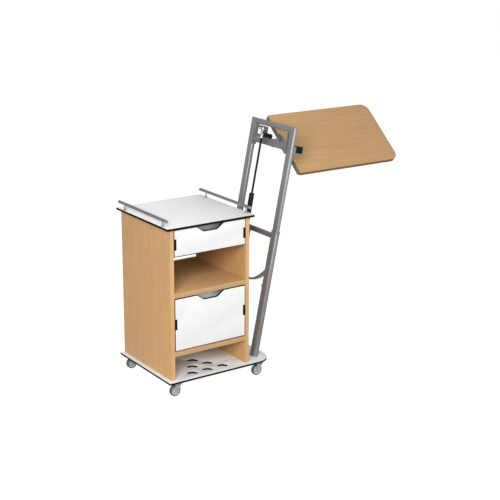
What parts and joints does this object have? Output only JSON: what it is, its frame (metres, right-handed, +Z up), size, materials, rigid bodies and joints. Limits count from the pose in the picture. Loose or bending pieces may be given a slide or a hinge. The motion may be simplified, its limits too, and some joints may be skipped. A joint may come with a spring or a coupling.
{
  "type": "bedside cabinet with over-bed table",
  "caption": "Bedside cabinet on castors with drawers, an open niche and a raked height-adjustable side frame that carries a tilting over-bed tabletop.",
  "frame": {"origin": "on the floor under the centre of the overall box, with the tabletop as drawn", "axes": "+X from the cabinet towards the tabletop, +Y to the rear, +Z up; the drawer fronts face -Y"},
  "size_m": [1.37, 0.464, 1.1334],
  "materials": {
    "laminate_white": "white high-pressure laminate with a dark core",
    "beech": "beech decor, satin",
    "frame_grey": "grey powder coat",
    "upright_grey": "light grey powder coat",
    "plate_light": "light grey powder coat",
    "bright_steel": "bright zinc plated steel",
    "gas_black": "black satin",
    "plastic_black": "fine textured black",
    "collar_grey": "grey moulded plastic",
    "tray_grey": "grey moulded plastic",
    "castor_grey": "grey moulded nylon",
    "tyre_grey": "dark grey tread"
  },
  "bodies": {
    "cabinet": {"base_plate": "laminate_white", "base_screws": "bright_steel", "left_side_panel": "beech", "right_side_panel": "beech", "back_panel": "beech", "middle_shelf": "beech", "bottom_shelf": "beech", "top_plate": "laminate_white", "drawer_ledge": "laminate_white", "gallery_bars": "bright_steel", "gallery_posts": "bright_steel", "cabinet_runners": "bright_steel", "castor_plates": "castor_grey", "outer_legs": "frame_grey", "guide_collars": "collar_grey", "lower_cross_rail": "frame_grey", "curved_strap": "frame_grey", "leg_guide_screws": "bright_steel", "gas_cylinder": "gas_black", "gas_carrier": "bright_steel", "gas_nuts": "bright_steel"},
    "drawer": {"drawer_front": "laminate_white", "drawer_tray": "tray_grey", "drawer_box_runners": "bright_steel", "drawer_catches": "plastic_black"},
    "pullout": {"pullout_front": "laminate_white", "pullout_tray": "tray_grey", "pullout_box_runners": "bright_steel", "pullout_catches": "plastic_black"},
    "upper_frame": {"front_upright": "upright_grey", "rear_upright": "upright_grey", "frame_top_bar": "upright_grey", "upper_cross_rail": "upright_grey", "frame_end_plates": "plate_light", "stop_bracket": "plate_light", "stop_block": "plastic_black", "gas_rod": "gas_black", "release_bracket": "bright_steel", "release_pin": "bright_steel", "bracket_bolts": "bright_steel", "pivot_housing": "plate_light"},
    "release_lever": {"release_lever": "bright_steel", "release_grip": "plastic_black"},
    "tabletop": {"pivot_shaft": "bright_steel", "tilt_carrier": "plate_light", "edge_rail": "plate_light", "tabletop": "beech", "rail_screws": "bright_steel"},
    "castor_front_left": {"castor_fork_front_left": "castor_grey"},
    "wheel_front_left": {"castor_hub_front_left": "castor_grey", "castor_tyre_front_left": "tyre_grey"},
    "castor_front_right": {"castor_fork_front_right": "castor_grey"},
    "wheel_front_right": {"castor_hub_front_right": "castor_grey", "castor_tyre_front_right": "tyre_grey"},
    "castor_rear_left": {"castor_fork_rear_left": "castor_grey"},
    "wheel_rear_left": {"castor_hub_rear_left": "castor_grey", "castor_tyre_rear_left": "tyre_grey"},
    "castor_rear_right": {"castor_fork_rear_right": "castor_grey"},
    "wheel_rear_right": {"castor_hub_rear_right": "castor_grey", "castor_tyre_rear_right": "tyre_grey"}
  },
  "joints": [
    {"name": "drawer_slide", "type": "slide", "parent": "cabinet", "child": "drawer", "axis": [0, -1, 0], "range_m": [0, 0.3]},
    {"name": "pullout_slide", "type": "slide", "parent": "cabinet", "child": "pullout", "axis": [0, -1, 0], "range_m": [0, 0.3]},
    {"name": "height_slide", "type": "slide", "parent": "cabinet", "child": "upper_frame", "axis": [0.1983, 0, 0.9801], "range_m": [-0.24, 0]},
    {"name": "lever_press", "type": "hinge", "parent": "upper_frame", "child": "release_lever", "pos_m": [-0.01234, 0.038, 1.06931], "axis": [-0.9801, 0, 0.1983], "range_deg": [0, 8], "stiffness_Nm_per_rad": 1.5, "springref_deg": -8.59},
    {"name": "table_tilt", "type": "hinge", "parent": "upper_frame", "child": "tabletop", "pos_m": [0.077, -0.001, 1.025], "axis": [1, 0, 0], "range_deg": [-82, 0]},
    {"name": "swivel_front_left", "type": "hinge", "parent": "cabinet", "child": "castor_front_left", "pos_m": [-0.627, -0.202, 0.055], "axis": [0, 0, 1], "continuous": true},
    {"name": "spin_front_left", "type": "hinge", "parent": "castor_front_left", "child": "wheel_front_left", "pos_m": [-0.645, -0.202, 0.025], "axis": [0, 1, 0], "continuous": true},
    {"name": "swivel_front_right", "type": "hinge", "parent": "cabinet", "child": "castor_front_right", "pos_m": [-0.188, -0.202, 0.055], "axis": [0, 0, 1], "continuous": true},
    {"name": "spin_front_right", "type": "hinge", "parent": "castor_front_right", "child": "wheel_front_right", "pos_m": [-0.206, -0.202, 0.025], "axis": [0, 1, 0], "continuous": true},
    {"name": "swivel_rear_left", "type": "hinge", "parent": "cabinet", "child": "castor_rear_left", "pos_m": [-0.627, 0.19, 0.055], "axis": [0, 0, 1], "continuous": true},
    {"name": "spin_rear_left", "type": "hinge", "parent": "castor_rear_left", "child": "wheel_rear_left", "pos_m": [-0.645, 0.19, 0.025], "axis": [0, 1, 0], "continuous": true},
    {"name": "swivel_rear_right", "type": "hinge", "parent": "cabinet", "child": "castor_rear_right", "pos_m": [-0.188, 0.19, 0.055], "axis": [0, 0, 1], "continuous": true},
    {"name": "spin_rear_right", "type": "hinge", "parent": "castor_rear_right", "child": "wheel_rear_right", "pos_m": [-0.206, 0.19, 0.025], "axis": [0, 1, 0], "continuous": true}
  ]
}
